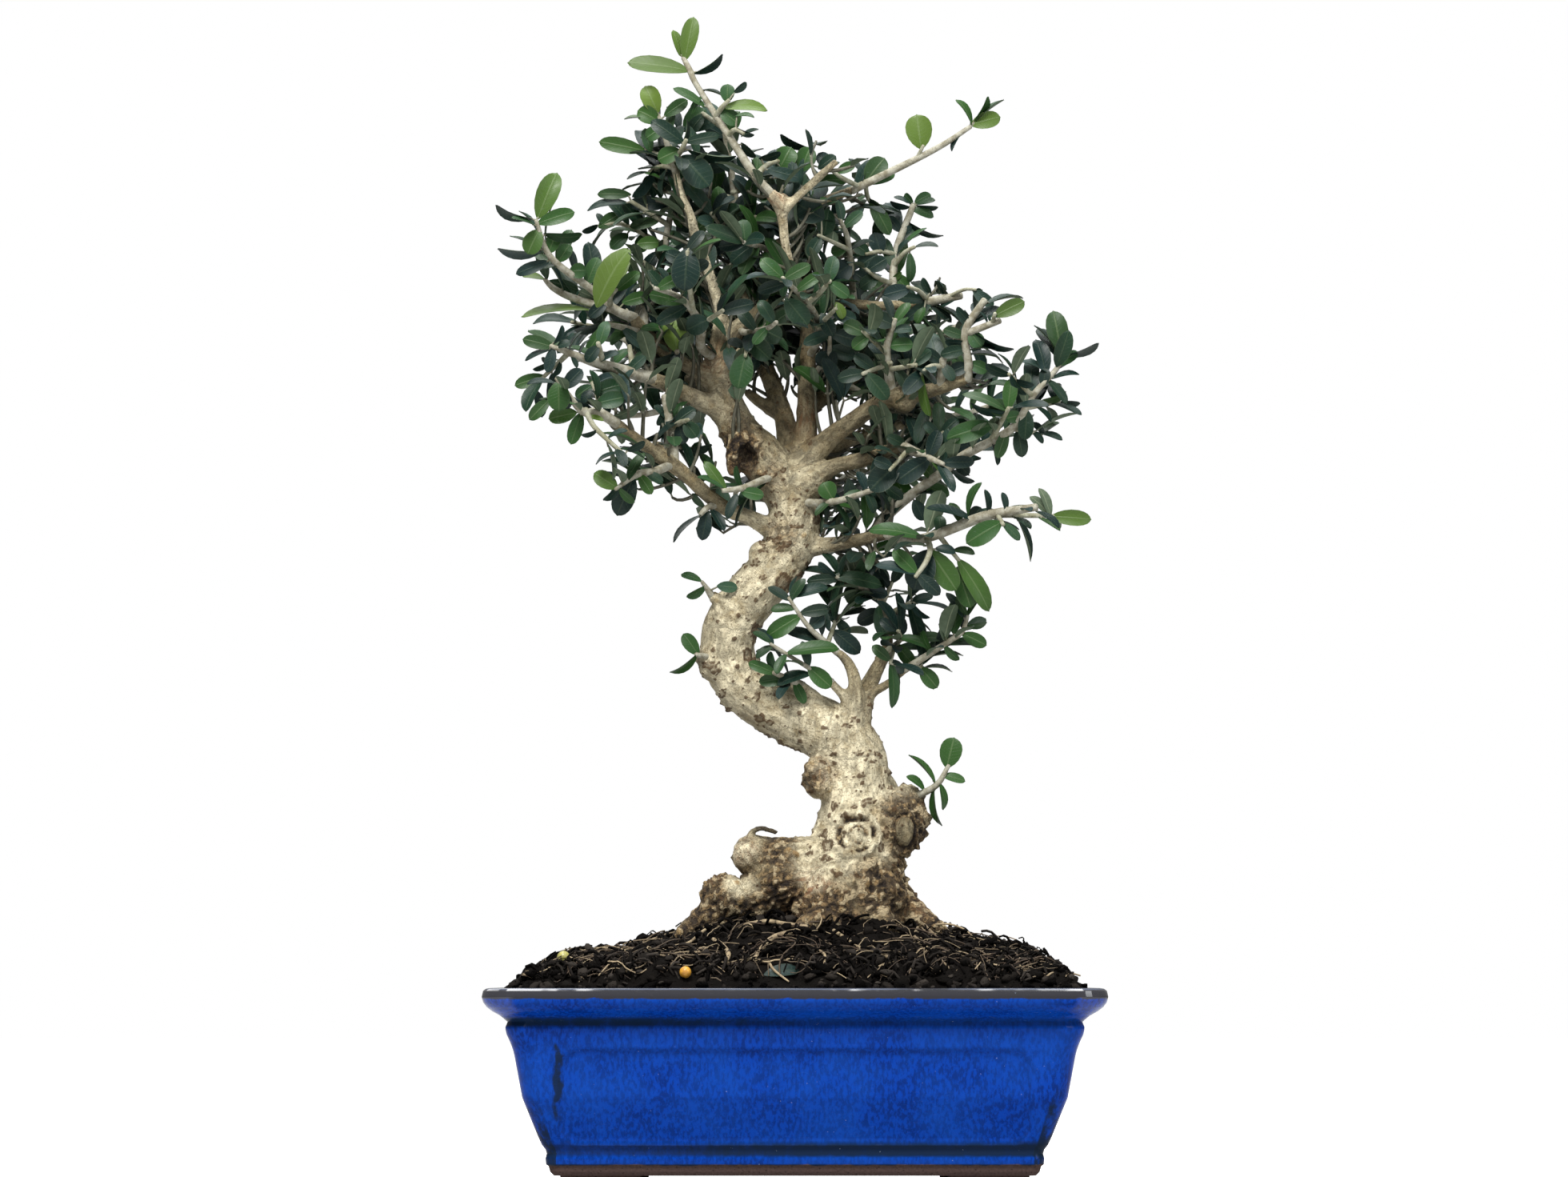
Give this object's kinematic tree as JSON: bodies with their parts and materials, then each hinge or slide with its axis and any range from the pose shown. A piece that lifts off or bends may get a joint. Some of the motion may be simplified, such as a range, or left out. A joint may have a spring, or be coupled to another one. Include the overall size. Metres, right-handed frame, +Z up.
{
  "type": "potted olive bonsai",
  "caption": "Bent-trunk olive bonsai with leafy sprays on spreading limbs, rooted in mounded soil in a rectangular glazed pot with a rolled rim, sunken side panels and corner feet.",
  "frame": {"origin": "centre of the whole object's box at its lowest level, which is the undersides of the pot's feet", "axes": "+Z up along the tree, X along the pot's long side with +X to the right in the picture, +Y away from the picture's viewer, along the pot's short side"},
  "size_m": [0.2, 0.15, 0.3894],
  "materials": {
    "glaze": "gloss",
    "soil": "matte",
    "bark": "matte",
    "screen_mesh": "matte",
    "amber_pellet": "satin",
    "green_pellet": "satin",
    "leaf_dark": "satin",
    "leaf_mid": "satin",
    "leaf_young": "satin"
  },
  "bodies": {
    "root": {"drain_screen_left": "screen_mesh", "drain_screen_right": "screen_mesh", "fallen_leaf": "leaf_dark", "pellet_amber": "amber_pellet", "pellet_green": "green_pellet", "pot": "glaze", "soil": "soil", "spray_apex": "leaf_mid", "spray_back_left_end": "leaf_dark", "spray_back_left_low": "leaf_dark", "spray_back_left_mid": "leaf_dark", "spray_back_low_end": "leaf_dark", "spray_back_mast_mid": "leaf_dark", "spray_back_mast_top": "leaf_dark", "spray_back_right_end": "leaf_dark", "spray_back_right_low": "leaf_dark", "spray_back_right_mid": "leaf_dark", "spray_bend_left_twig": "leaf_mid", "spray_bend_snag_twig": "leaf_mid", "spray_center_front": "leaf_mid", "spray_center_left": "leaf_dark", "spray_diagonal_front": "leaf_dark", "spray_left_bottom": "leaf_mid", "spray_left_bright": "leaf_young", "spray_left_drop": "leaf_dark", "spray_left_front": "leaf_dark", "spray_left_high": "leaf_dark", "spray_left_inner": "leaf_young", "spray_left_low": "leaf_dark", "spray_left_rise": "leaf_mid", "spray_left_riser": "leaf_dark", "spray_left_top": "leaf_mid", "spray_left_under": "leaf_mid", "spray_mast_side": "leaf_dark", "spray_right_end": "leaf_dark", "spray_right_fork": "leaf_dark", "spray_right_high_tip": "leaf_dark", "spray_right_inner_twig": "leaf_dark", "spray_right_light": "leaf_mid", "spray_right_low": "leaf_mid", "spray_right_mid_back": "leaf_dark", "spray_right_mid_low": "leaf_dark", "spray_right_mid_up": "leaf_dark", "spray_right_small": "leaf_mid", "spray_right_star": "leaf_dark", "spray_right_top": "leaf_mid", "spray_shoot_a_side": "leaf_mid", "spray_shoot_a_top": "leaf_dark", "spray_shoot_b_top": "leaf_dark", "spray_shoot_c_top": "leaf_mid", "spray_shoot_d_top": "leaf_mid", "spray_shoot_e_top": "leaf_young", "spray_sprout": "leaf_young", "spray_top_back": "leaf_dark", "spray_top_back_mid": "leaf_dark", "spray_upper_dark": "leaf_dark", "spray_upper_left": "leaf_mid", "spray_upper_mid": "leaf_mid", "trunk": "bark"}
  },
  "joints": []
}
